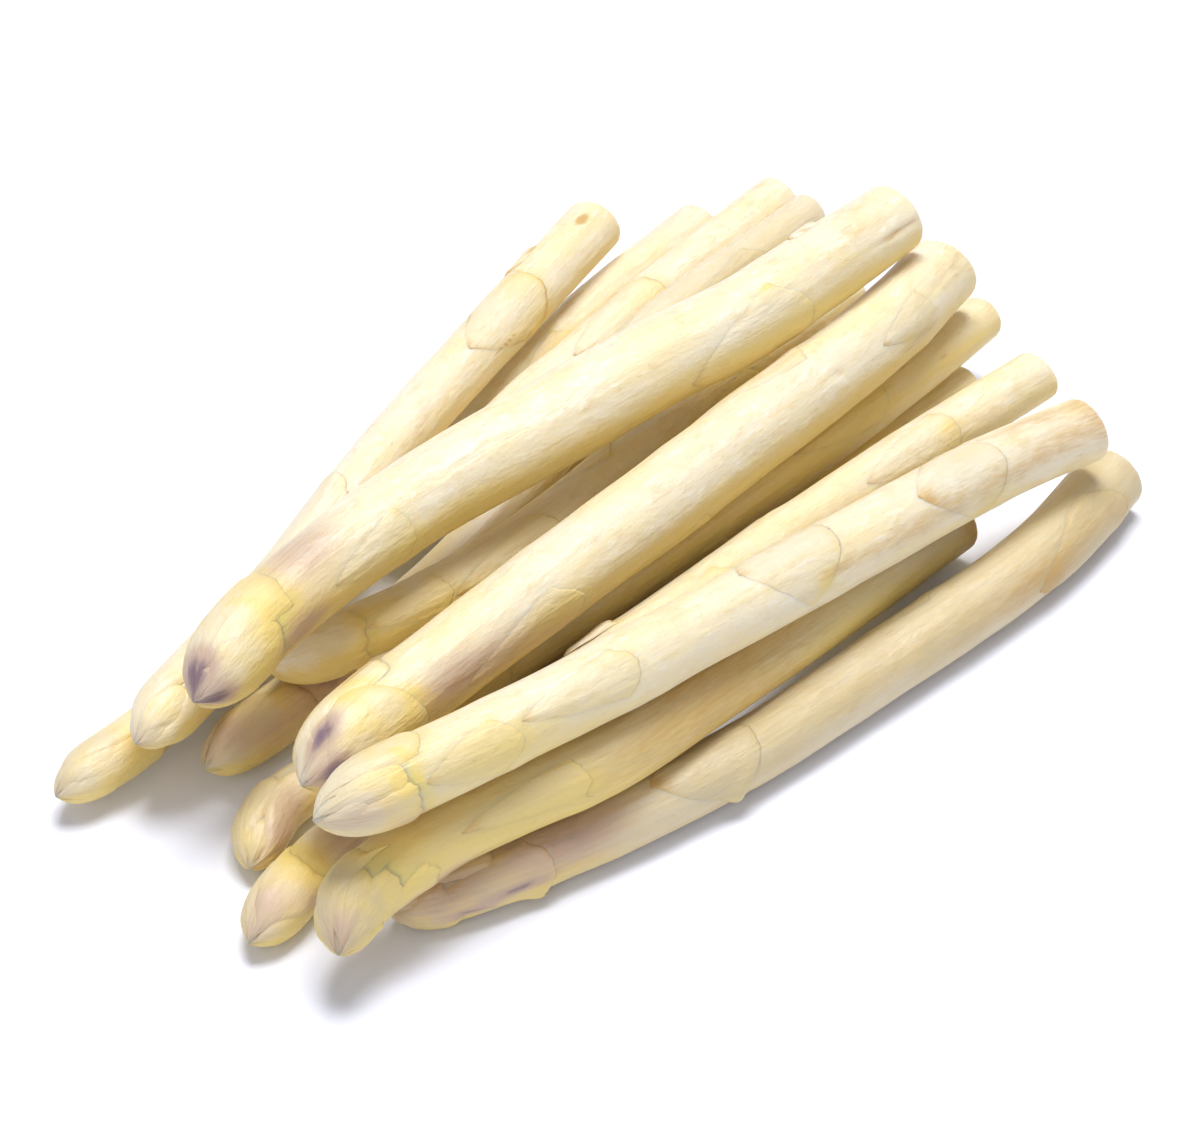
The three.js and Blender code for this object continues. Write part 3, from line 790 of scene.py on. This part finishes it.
frontUnder = {
    "seed": 12, "girths": (15, 15, 14.5), "cut": (14, 30),
    "places": [(80.4, -35.8, 9.5), (21.4, -39, 17), (-10.2, -39.2, 19.8), (-40, -38.2, 21.5),
               (-62, -31.8, 21), (-81.4, -28.1, 21.1), (-100, -26.3, 17), (-110.8, -32.8, 15.5)],
    "scales": [(30, -60, 28, {}), (131, 52, 28, {"spread": 36, "bow": 3, "spur": (0.5, 3)}),
               (168, 88, 12, {"spread": 28, "bow": 2, "spur": (0.5, 2.6), "thick": 0.6})],
    "head": [(174, -36, {"spread": 40, "bow": -2, "spur": (1.5, 2.6), "thick": 0.55, "pale": 0.2, "torn": 0.3,
                         "lift": [(1, 0.02, 0.14, 0.4)]}),
             (175, 66, {"spread": 38, "bow": 1.5, "spur": (2.0, 2.6), "thick": 0.55, "pale": 0.2, "torn": 0.3,
                        "lift": [(1, 0.02, 0.12, 0.4)]}), (181, 15, {"thick": 0.6})],
    # its high tone is partly its own duller, yellower skin and partly painted shade under the top front
    # spear, which lies over it
    "tone": 1.0, "buttTan": 0.4, "paintedBounceYellow": 0.9,
    "blush": [(166, 118, 14, 22, 0.8), (192, 0, 5, 45, 0.6)],
    # the second tan bump and the second yellow bump, broad along its middle, are painted shade under the top
    # front spear
    "tan": [(6, 60, 9, 90, 0.5), (92, 60, 52, 200, 0.8)],
    "yellow": [(172, 16, 8, 28, 0.6), (90, 60, 90, 200, 0.5)],
}
layOut("spear_front_under", frontUnder)

rearLeft = {
    "seed": 13, "girths": (14, 13.6, 12.4), "cut": (6, -30),
    "places": [(89.6, 84.6, 28.1), (53.9, 75.6, 28.1), (-2.5, 60.4, 28.8), (-52.7, 48.7, 22),
               (-101.9, 36.7, 21)],
    "scales": [(23, -52, 12, {"spread": 16, "full": 4, "bow": 1, "thick": 0.7, "edge": 1.0}),
               (42, 20, 24, {"spread": 100, "bow": 8, "edge": 0.9, "glow": 0.5}),
               (120, -30, 28, {}), (155, 100, 18, {})],
    "head": [(168, -40, {})],
    # its underside gets less of the painted bounce yellow than most
    "paintedBounceYellow": 0.6,
    "tan": [(9, 8, 3, 12, 1.3), (56, 66, 7, 4, 1.2), (46, 100, 3, 22, 0.7), (34, -30, 1.5, 40, 0.7)],
    "yellow": [(52, 66, 9, 16, 0.4), (12, 10, 7, 26, 0.3)],
}
layOut("spear_rear_left", rearLeft)

topFront = {
    "seed": 14, "girths": (15.3, 16, 15), "cut": (7, -10),
    "places": [(109.6, -49.6, 25.8), (84.5, -44.4, 27.7), (21.6, -39.3, 33.5), (-34.4, -33.4, 37.1),
               (-59, -29, 37.6), (-103.7, -20, 38.7)],
    "scales": [(40, 24, 18, {"spread": 92, "bow": 9, "edge": 0.5}),
               (94, -8, 14, {"spread": 106, "bow": 12, "edge": 0.4}), (140, -110, 26, {}),
               (146, 40, 24, {"spread": 40, "bow": 5}), (177, 62, 17, {"spread": 46, "bow": 6, "edge": 0.2})],
    "head": [(193, -34, {"spread": 52, "thick": 0.65}),
             (197, 100, {"spread": 52, "bow": 2, "spur": (0.5, 2.4), "thick": 0.65, "torn": 0.4, "glow": 0.4,
                         "lift": [(1, 0.02, 0.12, 0.5)]}),
             (198, 28, {"spread": 36, "bow": 2, "thick": 0.65, "glow": 0.5}), (200, 170, {})],
    # its underside gets less of the painted bounce yellow than most
    "tone": 0.12, "buttTan": 0.35, "paintedBounceYellow": 0.5, "tipBlush": 0.12,
    "tan": [(10, 20, 16, 50, 0.5), (30, 60, 26, 30, 0.6), (24, -20, 24, 22, 0.5), (68, 66, 24, 36, 0.6),
            (88, 60, 9, 14, 0.4), (183, 62, 1.6, 5, 0.7)],
    "blush": [(208, 70, 8, 40, 0.6), (198, 118, 6, 20, 0.7)],
    "yellow": [(199, 44, 2.2, 18, 0.7), (186, 10, 10, 50, 0.2), (150, 60, 40, 50, 0.25),
               (90, 70, 3, 16, 0.6)],
}
layOut("spear_top_front", topFront)

topRear = {
    "seed": 15, "girths": (17, 20.2, 16.2), "cut": (4, -30),
    "places": [(116.7, 13.8, 51), (85.3, 15.7, 49), (64.3, 17.7, 47.2), (40.3, 22.2, 46), (18.3, 25.2, 44.6),
               (-28.8, 30.7, 42.6), (-73.3, 28, 41.3), (-97.4, 21.7, 39.8)],
    "scales": [(47, 96, 26, {"spread": 76, "bow": 9, "edge": 0.5}),
               (23, -36, 8, {"spread": 9, "full": 6, "bow": 0.4, "thick": 0.6, "rimWidth": 0.8, "edge": 0.9}),
               (100, -100, 30, {}),
               (155, 68, 21, {"spread": 36, "bow": 3, "thick": 0.32, "rimWidth": 3.5, "pale": 0.1,
                              "glow": 0.25})],
    "head": [(188, -40, {"spread": 90, "bow": 2, "thick": 0.6}),
             (197, 60, {"spread": 80, "bow": 4, "thick": 0.75, "glow": 0.4}), (203, 170, {})],
    "dents": [(9, 62, 7, 5, -0.5), (12, 40, 5, 4, -0.3), (110, -20, 4, 5, 0.2), (96, 10, 5, 4, 0.15)],
    "blush": [(177, -5, 13, 60, 0.8), (188, 88, 9, 24, 1.0), (213, -16, 5, 45, 1.9), (214, 86, 3.8, 30, 1.9)],
    "yellow": [(47, 21, 1.8, 5, 0.9), (192, 48, 6, 30, 0.7), (189, 0, 5, 50, 0.4), (26, 40, 5, 18, 0.5)],
    "tan": [(14, 20, 12, 50, 0.5), (40, 10, 16, 30, 0.5), (9, 62, 8, 6, 0.6), (204, 12, 2, 8, 0.6)],
}
layOut("spear_top_rear", topRear)


# Where it is seen from, and by what light: a plain white floor, a soft sky, one square
# softbox almost straight above and a faint one before the heads. The floor and the sky are a
# little blue, so that the shadows stay grey beside the yellow spears.
studio = {
    "aimHeight": 25, "away": 754, "swing": -47, "rise": 42,      # mm, mm, degrees, degrees
    "lens": 104.1, "sensor": 36,                                 # mm
    "floorColour": "#f2f4ff", "floorRoughness": 0.9, "floorSize": 4.0,    # m
    "sky": 0.35, "skyColour": (0.91, 0.95, 1.08, 1.0),
    # name, place in m, size in m, watts
    "lamps": [("softbox overhead", (0.26, 0.17, 1.8), 0.85, 33.5),
              ("softbox before the heads", (-0.75, -0.35, 0.5), 0.6, 1.3)],
}


def facing(where, back):
    # a place and turn whose local Z points along back and whose X is level
    back = np.array(back) / np.linalg.norm(back)
    right = np.cross([0, 0, 1], back)
    right /= np.linalg.norm(right)
    turn = np.eye(4)
    turn[:3, 0], turn[:3, 1], turn[:3, 2], turn[:3, 3] = right, np.cross(back, right), back, where
    return Matrix(turn.tolist())


def makeStudio():
    # The camera stands away from the aim, swung round from -Y and raised above the floor. It
    # aims over the point that the spears' places are given from.
    scene = bpy.context.scene
    aim = np.array([*heapLay["shift"], studio["aimHeight"]]) * mm
    swing, rise = math.radians(studio["swing"]), math.radians(studio["rise"])
    back = np.array([math.sin(swing) * math.cos(rise), -math.cos(swing) * math.cos(rise), math.sin(rise)])
    camera = bpy.data.objects.new("camera", bpy.data.cameras.new("camera"))
    camera.data.lens, camera.data.sensor_width = studio["lens"], studio["sensor"]
    camera.matrix_world = facing(aim + back * studio["away"] * mm, back)
    scene.collection.objects.link(camera)
    scene.camera = camera
    half = studio["floorSize"] / 2
    corners = [(-half, -half, 0), (half, -half, 0), (half, half, 0), (-half, half, 0)]
    mesh = bpy.data.meshes.new("floor")
    mesh.from_pydata(corners, [], [(0, 1, 2, 3)])
    floor = bpy.data.objects.new("floor", mesh)
    scene.collection.objects.link(floor)
    material = bpy.data.materials.new("white card, matt")
    material.use_nodes = True
    shader = material.node_tree.nodes["Principled BSDF"]
    shader.inputs["Base Color"].default_value = linear(studio["floorColour"])
    shader.inputs["Roughness"].default_value = studio["floorRoughness"]
    mesh.materials.append(material)
    world = bpy.data.worlds.new("soft white sky")
    world.use_nodes = True
    glow = world.node_tree.nodes["Background"]
    glow.inputs["Color"].default_value = studio["skyColour"]
    glow.inputs["Strength"].default_value = studio["sky"]
    scene.world = world
    scene.view_settings.view_transform = "Standard"
    for name, place, size, watts in studio["lamps"]:
        lamp = bpy.data.objects.new(name, bpy.data.lights.new(name, "AREA"))
        lamp.data.shape, lamp.data.size, lamp.data.energy = "SQUARE", size, watts
        lamp.matrix_world = facing(np.array(place), np.array(place) - aim)
        scene.collection.objects.link(lamp)


makeStudio()
print("camera, floor, sky and softboxes set")
